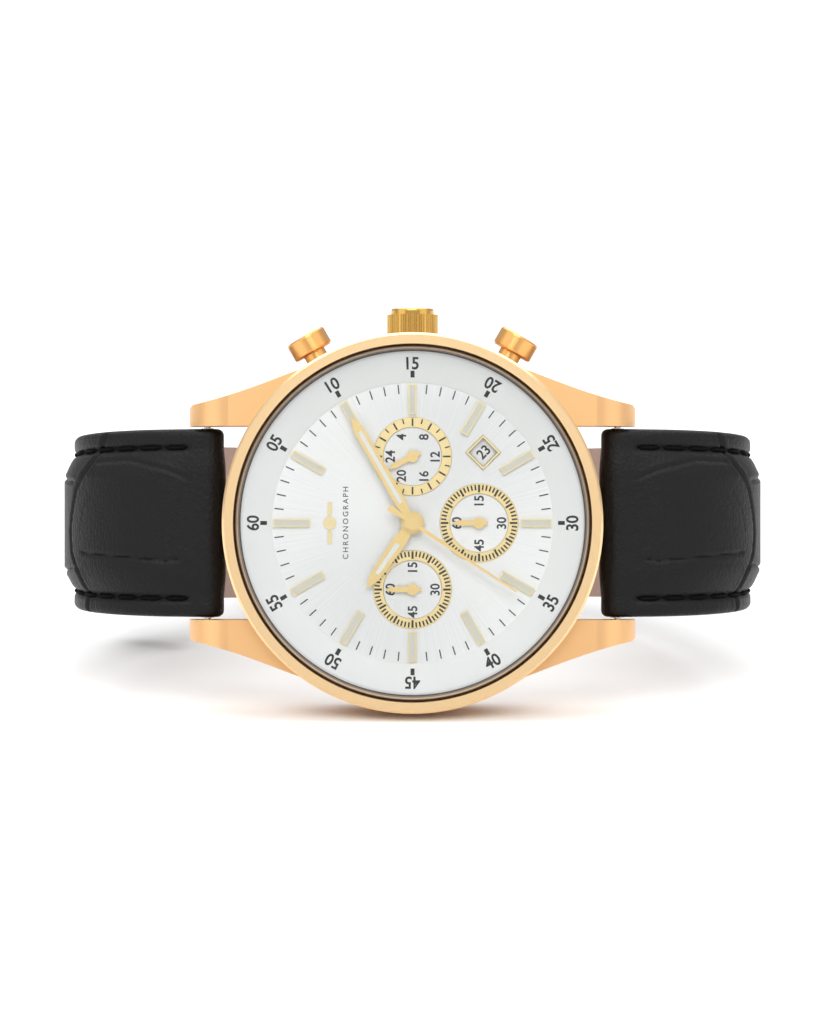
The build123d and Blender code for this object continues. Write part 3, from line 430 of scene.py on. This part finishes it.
date_print = Print()
for day in range(1, 32):
    angle = radians(DATE_ANGLE - (day - DATE_SHOWN) * 360 / 31)
    date_print.text(str(day), 1.2,
                    lambda u, v: (-(DATE_PLACE + u) * cos(angle) - v * sin(angle),
                                  (DATE_PLACE + u) * sin(angle) - v * cos(angle), LIFT + DATE_TOP), 1.0, 0.95)
piece("date_print", date_print.points, date_print.faces, PRINT, "date_ring", "date_white")

marker_lume = Print()
for hour in range(12):
    inner = SHORT_MARKER_INNER if hour in (3, 6, 9) else LONG_MARKER_INNER
    marker_lume.add(*box_between(30 * hour, inner + 0.18, MARKER_OUTER, 0.275, 0.275, MARKER_FLOOR, 0.38))
piece("marker_lume", marker_lume.points, marker_lume.faces, LUME, "case", "ring_white")

for name, body, bounds in (("hour", "hour_hand_group", (2.87, 7.08, 0.285, 0.235, 0.87, 1.0)),
                           ("minute", "minute_hand_group", (2.62, 11.98, 0.245, 0.245, 1.42, 1.55))):
    piece(name + "_lume", *box_between(pointing(name + "_hand"), *bounds), HAND_LUME, body, "hand_gold")

# ---- strap halves, to the CAD's dimensions ----
BAR_X = 23.4
BAR_Z = -3.0
START_DIP = 8.0
LOOP = 2.1
BUCKLE_LOOP = 1.6
BAR_HOLE = 0.85
HALF_WIDTH_AT_CASE = 10.9
NARROWING = 0.06
NARROWED_AT = -26.7
THICK_AT_BAR = 4.2
PADDING = 1.2
THINNING = 3.0
LINING_THICKNESS = 1.0
TIP_LENGTH = 5.5
FIRST_HOLE = 30
HOLE_PITCH = 6.5
HOLE_RADIUS = 0.9
TONGUE_SLOT_START = 5.0
TONGUE_SLOT_RADIUS = 1.5
STRETCHES = {"strap_12": ((4.0, 0), (18.8, 87), (31.2, 40), (20.4, 35)),
             "strap_6": ((4.0, 0), (18.8, 87), (53.9, 45), (17.2, 40), (20.5, 0))}
SIDES = {"strap_12": -1, "strap_6": 1}
BAR_WRAP = 230
BUCKLE_WRAP = 200
GRID_STEP = 0.22
NOMINAL_HALF_WIDTH = 10.8
EDGE_ROUNDING = 0.75
STITCH_INSET = 2.1
STITCH_LENGTH = 2.6
STITCH_PITCH = 2.9
THREAD_RADIUS = 0.22


def station(strap, distance):
    """Place and dip of a strap's centre line."""
    x, z, dip = BAR_X, BAR_Z, START_DIP
    for length, turn in STRETCHES[strap]:
        step = min(length, distance)
        bend = turn * step / length
        shortening = sin(radians(bend / 2)) / radians(bend / 2) if bend else 1
        x += step * shortening * cos(radians(dip + bend / 2))
        z -= step * shortening * sin(radians(dip + bend / 2))
        dip += bend
        distance -= step
    return x, z, radians(dip)


def length_of(strap):
    return sum(length for length, turn in STRETCHES[strap])


def half_thickness(distance):
    swelling = PADDING * min(1, distance / 9)
    return (THICK_AT_BAR + swelling - THINNING * min(1, max(0, (distance - 24) / 38))) / 2


def strap_half_width(z):
    return HALF_WIDTH_AT_CASE + NARROWING * max(z, NARROWED_AT)


def smooth(low, high, value):
    t = np.clip((value - low) / (high - low), 0, 1)
    return t * t * (3 - 2 * t)


def near_line(points, line):
    """Distance of each (distance, y) point from a polyline."""
    nearest = np.full(points.shape[:-1], 1e9)
    for start, end in zip(line[:-1], line[1:]):
        a, b = np.array(start, float), np.array(end, float)
        t = np.clip(((points - a) @ (b - a)) / ((b - a) @ (b - a)), 0, 1)
        nearest = np.minimum(nearest, np.linalg.norm(points - a - t[..., None] * (b - a), axis=-1))
    return nearest


def creases(strap):
    """Embossed creases as (line, depth, half width): rows across the strap and two lines along it."""
    length = length_of(strap)
    rng = np.random.default_rng(12 if strap == "strap_12" else 6)
    made = [
        ([(11.8, 10), (12.3, 8.8), (13.6, 6.4), (15.5, 3.9), (16.6, 1.0), (17.0, -1.0), (16.6, -3.4),
          (15.2, -5.6), (14.7, -7.8), (15.0, -10)], 0.42, 0.42),
        ([(14.2, -3.4), (12.0, -3.6), (8.4, -3.9), (4.2, -4.3), (3.0, -4.1)], 0.3, 0.35),
        ([(2.1, 5.1), (4.6, 6.2), (8.1, 7.15), (12.3, 7.0)], 0.22, 0.35),
        ([(2.0, 5.0), (2.9, 2.0), (3.5, -1.0), (3.8, -4.0)], 0.12, 0.3),
        ([(12.4, 3.4), (14.0, 1.6), (14.6, -0.8)], 0.1, 0.25),
        ([(9.4, 2.6), (11.6, 0.4)], 0.07, 0.25), ([(6.4, -0.6), (7.6, -2.4)], 0.06, 0.25),
    ]
    rows = [16.6]
    while rows[-1] < length - 12:
        rows.append(rows[-1] + 9.2 + 2.2 * rng.random())
    for index, (row, after) in enumerate(zip(rows, rows[1:])):
        wave = [(after + 1.1 * sin(0.5 * y + index) - 0.022 * y * y + 0.5 * rng.random(), y)
                for y in np.linspace(-10.6, 10.6, 12)]
        made.append((wave, 0.38, 0.42))
        for side in (-1, 1):
            middle = (4.6 + 0.5 * rng.random()) * side
            made.append(([(row - 0.4, middle), ((row + after) / 2, middle + 0.5 * side),
                          (after + 0.3, middle)], 0.32, 0.38))
            split = (row + after) / 2 + rng.random() - 0.5
            made.append(([(split, middle + 0.5 * side), (split + 0.4, 7 * side), (split - 0.3, 10.6 * side)],
                         0.22, 0.34))
    return made


def border_drop_at(distance):
    """How far the stitched border lies below the padded middle."""
    return 0.22 + 1.0 * smooth(1.0, 10, distance) * (1 - smooth(22, 62, distance))


def strap_sections(strap, along):
    """Centre, normal, outer reach, inner reach and half width at each step along one strap half."""
    side, length = SIDES[strap], length_of(strap)
    places, normals, outers, inners, halves = [], [], [], [], []
    for u in along:
        s = min(max(u, 0), length)
        x, z, dip = station(strap, s)
        normal = np.array((side * sin(dip), 0, cos(dip)))
        tangent = np.array((side * cos(dip), 0, -sin(dip)))
        if u < 0:
            turn = u / LOOP
            normal = normal * cos(turn) + tangent * sin(turn)
            outer, inner = LOOP, BAR_HOLE
        elif u > length:
            turn = (u - length) / BUCKLE_LOOP
            normal = normal * cos(turn) + tangent * sin(turn)
            outer, inner = BUCKLE_LOOP, BAR_HOLE
        else:
            outer = half_thickness(s)
            inner = LINING_THICKNESS - outer
            if s < BAR_HOLE:
                inner = sqrt(BAR_HOLE ** 2 - s * s)
            if strap == "strap_12" and length - s < BUCKLE_LOOP:
                outer = max(outer, sqrt(BUCKLE_LOOP ** 2 - (length - s) ** 2))
                if length - s < BAR_HOLE:
                    inner = sqrt(BAR_HOLE ** 2 - (length - s) ** 2)
        half = strap_half_width(z)
        if strap == "strap_6" and s > length - TIP_LENGTH:
            half = max(0.6, half * sqrt(max(0, 1 - ((s - length + TIP_LENGTH) / TIP_LENGTH) ** 2)))
        places.append(np.array((side * x, 0, z)))
        normals.append(normal)
        outers.append(outer)
        inners.append(inner)
        halves.append(half)
    return [np.array(values) for values in (places, normals, outers, inners, halves)]


def cut_openings(strap, grid):
    """Leave out the cells over holes and the tongue slot, and pull the nearest points onto their edges."""
    length = length_of(strap)
    if strap == "strap_6":
        holes = [length - FIRST_HOLE - HOLE_PITCH * k for k in range(7)]
        openings = [((hole, 0), (hole + 0.001, 0), HOLE_RADIUS) for hole in holes]
    else:
        openings = [((length - TONGUE_SLOT_START, 0), (length + 6, 0), TONGUE_SLOT_RADIUS)]
    middles = (grid[1:, 1:] + grid[:-1, 1:] + grid[1:, :-1] + grid[:-1, :-1]) / 4
    kept = np.ones(middles.shape[:2], bool)
    for start, end, radius in openings:
        kept &= near_line(middles, [start, end]) > radius
        close = near_line(grid, [start, end])
        border = np.abs(close - radius) < 0.15
        a, b = np.array(start), np.array(end)
        t = np.clip(((grid - a) @ (b - a)) / ((b - a) @ (b - a)), 0, 1)
        foot = a + t[..., None] * (b - a)
        away = (grid - foot) / np.maximum(close, 1e-6)[..., None]
        grid = np.where(border[..., None], foot + away * radius, grid)
    return grid, kept


def relief(strap, grid, half_widths):
    """How far the leather's surface lies below the CAD surface at each grid point."""
    u, y = grid[..., 0], grid[..., 1]
    inset = half_widths - np.abs(y)
    rise = np.sin(pi / 2 * np.clip((inset - 2.3) / 3.4, 0, 1))
    drop = border_drop_at(u) * (1 - rise)
    drop += EDGE_ROUNDING - np.sqrt(np.maximum(
        0, EDGE_ROUNDING ** 2 - np.clip(EDGE_ROUNDING - inset, 0, EDGE_ROUNDING) ** 2))
    length = length_of(strap)
    stitched = smooth(1.2, 2.0, u) * (1 - smooth(length - 9, length - 8, u))
    drop += stitched * 0.42 * np.exp(-((inset - STITCH_INSET) / 0.34) ** 2)
    for line, depth, half in creases(strap):
        distance = near_line(grid, line)
        narrow = 0.55 * half
        drop += 0.85 * depth * np.exp(-(distance / narrow) ** 2)
        drop -= 0.16 * depth * np.exp(-((distance - 2.6 * narrow) / narrow) ** 2)
    return np.maximum(drop, 0.02)


def shell_faces(kept, flip):
    """Faces of a closed shell: outer grid, inner grid and walls wherever the kept cells end."""
    rows, columns = kept.shape[0] + 1, kept.shape[1] + 1
    count = rows * columns
    faces = []
    for i in range(rows - 1):
        for j in range(columns - 1):
            if not kept[i, j]:
                continue
            a, b = i * columns + j, (i + 1) * columns + j
            c, d = b + 1, a + 1
            faces.append([a, b, c, d])
            faces.append([count + d, count + c, count + b, count + a])
            walls = {(-1, 0): (d, a), (1, 0): (b, c), (0, -1): (a, b), (0, 1): (c, d)}
            for (di, dj), (p, q) in walls.items():
                ni, nj = i + di, j + dj
                if not (0 <= ni < rows - 1 and 0 <= nj < columns - 1) or not kept[ni, nj]:
                    faces.append([q, p, count + p, count + q])
    return [corners[::-1] for corners in faces] if flip else faces


def strap_half(strap):
    """Black outer leather of one half: embossed, padded, with a stitching channel, holes and its free end."""
    side, length = SIDES[strap], length_of(strap)
    along = list(-LOOP * np.linspace(radians(BAR_WRAP), 0, 26)[:-1])
    along += list(np.linspace(0, length, int(length / GRID_STEP) + 1))
    if strap == "strap_12":
        along += list(length + BUCKLE_LOOP * np.linspace(0, radians(BUCKLE_WRAP), 20)[1:])
    along = np.array(along)
    edge = [0, 0.05, 0.13, 0.24, 0.38, 0.55, 0.75]
    inside = np.linspace(-(NOMINAL_HALF_WIDTH - 1.0), NOMINAL_HALF_WIDTH - 1.0, 88)
    across = np.array([-(NOMINAL_HALF_WIDTH - e) for e in edge] + list(inside)
                      + [NOMINAL_HALF_WIDTH - e for e in edge[::-1]]) / NOMINAL_HALF_WIDTH

    places, normals, outers, inners, halves = strap_sections(strap, along)
    y = halves[:, None] * across[None, :]
    grid, kept = cut_openings(strap, np.stack([np.repeat(along[:, None], len(across), axis=1), y], axis=-1))
    reach = outers[:, None] - relief(strap, grid, halves[:, None])

    tangents = np.stack([side * normals[:, 2], np.zeros(len(along)), -side * normals[:, 0]], axis=-1)
    slide = tangents[:, None] * (grid[..., 0] - along[:, None])[..., None]
    outer_points = places[:, None] + normals[:, None] * reach[..., None] + slide
    inner_points = places[:, None] + normals[:, None] * inners[:, None, None] + slide
    outer_points[..., 1] = grid[..., 1]
    inner_points[..., 1] = grid[..., 1]
    points = np.concatenate([outer_points.reshape(-1, 3), inner_points.reshape(-1, 3)])
    faces = shell_faces(kept, side > 0)
    used = sorted({corner for corners in faces for corner in corners})
    number = {old: new for new, old in enumerate(used)}
    faces = [[number[corner] for corner in corners] for corners in faces]
    leather = piece(strap + "_leather", points[used], faces, LEATHER, strap, "black_leather", 50)
    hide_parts(strap + "_top")


def stitching(strap):
    """Two rows of stitches, each a short rounded run of thread lying in the channel."""
    side, length = SIDES[strap], length_of(strap)
    thread = Print()
    for edge_side in (-1, 1):
        s = 2.0
        while s < length - 10:
            line = []
            for part in np.linspace(s, s + STITCH_LENGTH, 6):
                x, z, dip = station(strap, part)
                height = half_thickness(part) - float(border_drop_at(part)) - 0.2
                line.append((side * (x + height * sin(dip)), edge_side * (strap_half_width(z) - STITCH_INSET),
                             z + height * cos(dip), dip))
            thread.add(*tube(line, THREAD_RADIUS, side))
            s += STITCH_PITCH
    piece(strap + "_stitches", thread.points, thread.faces, THREAD, strap, "black_leather", 60)


def tube(line, radius, side):
    """A thread run along a line of (x, y, z, dip), tapering into the leather at both ends."""
    points, faces = [], []
    ring = 8
    for index, (x, y, z, dip) in enumerate(line):
        end = index in (0, len(line) - 1)
        size = radius * (0.35 if end else 1)
        sunk = -0.22 if end else 0
        for corner in range(ring):
            turn = 2 * pi * corner / ring
            rise = size * cos(turn) + sunk
            points.append((x + side * sin(dip) * rise, y + size * sin(turn), z + cos(dip) * rise))
    for index in range(len(line) - 1):
        for corner in range(ring):
            a, b = index * ring + corner, index * ring + (corner + 1) % ring
            quad = [a, a + ring, b + ring, b]
            faces.append(quad if side < 0 else quad[::-1])
    first = list(range(ring))
    last = [(len(line) - 1) * ring + corner for corner in range(ring)]
    faces.append(first if side < 0 else first[::-1])
    faces.append(last[::-1] if side < 0 else last)
    return points, faces


for half_name in STRETCHES:
    strap_half(half_name)
    stitching(half_name)


# ---- floor, light and camera ----
def stage_plane(name, size, place, look, turn=(0, 0, 0)):
    mesh = bpy.data.meshes.new(name)
    w, h = size[0] / 2, size[1] / 2
    mesh.from_pydata([(-w, -h, 0), (w, -h, 0), (w, h, 0), (-w, h, 0)], [], [[0, 1, 2, 3]])
    mesh.materials.append(look)
    made = bpy.data.objects.new(name, mesh)
    bpy.context.scene.collection.objects.link(made)
    made.location = place
    made.rotation_euler = [radians(angle) for angle in turn]
    return made


FLOOR = grain(new_material("floor", (0.8, 0.8, 0.8)), 0.01, 0.0, rough=(0.85, 0.95))
stage_plane("floor", (6, 6), (0, 0, -0.0002), FLOOR)

world = bpy.data.worlds.new("studio")
bpy.context.scene.world = world
world.use_nodes = True
sky = node(world, "ShaderNodeTexCoord")
height = node(world, "ShaderNodeSeparateXYZ")
join(world, sky.outputs["Generated"], height.inputs["Vector"])
fade = node(world, "ShaderNodeMapRange", To_Min=0.62, To_Max=0.95)
join(world, height.outputs["Z"], fade.inputs["Value"])
join(world, fade.outputs["Result"], world.node_tree.nodes["Background"].inputs["Strength"])
world.node_tree.nodes["Background"].inputs["Color"].default_value = (1, 1, 1, 1)


def soft_light(name, place, target, size, power, colour=(1, 1, 1)):
    data = bpy.data.lights.new(name, "AREA")
    data.shape = "RECTANGLE"
    data.size, data.size_y = size
    data.energy = power
    data.color = colour
    made = bpy.data.objects.new(name, data)
    bpy.context.scene.collection.objects.link(made)
    made.location = place
    made.rotation_mode = "QUATERNION"
    made.rotation_quaternion = (Vector(target) - Vector(place)).to_track_quat("-Z", "Y")
    return made


middle = (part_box("bezel")[0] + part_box("bezel")[1]) / 2
soft_light("front_key", middle + Vector((0, -0.9, 0.85)), middle, (0.9, 0.9), 9.5)
soft_light("left_softbox", middle + Vector((-0.6, -0.3, 0.3)), middle, (0.6, 0.7), 1.0)
soft_light("right_softbox", middle + Vector((0.6, -0.3, 0.3)), middle, (0.6, 0.7), 0.9)
overhead = bpy.data.lights.new("overhead", "SUN")
overhead.energy = 2.1
overhead.angle = radians(75)
overhead_lamp = bpy.data.objects.new("overhead", overhead)
bpy.context.scene.collection.objects.link(overhead_lamp)
overhead_lamp.rotation_euler = (radians(-22), 0, 0)

# The camera looks straight at the dial from half a metre, on the watch's axes in millimetres.
CAMERA_PLACE = (-0.06, 0.68, 503.9)
CAMERA_LENS = 154.6
SENSOR_WIDTH = 36
camera_data = bpy.data.cameras.new("camera")
camera_data.lens = CAMERA_LENS
camera_data.sensor_width = SENSOR_WIDTH
camera_data.clip_start = 0.01
camera = bpy.data.objects.new("camera", camera_data)
bpy.context.scene.collection.objects.link(camera)
camera.matrix_world = Matrix.Translation(WATCH @ Vector(CAMERA_PLACE)) @ TURN
bpy.context.scene.camera = camera
bpy.context.scene.view_settings.view_transform = "Standard"
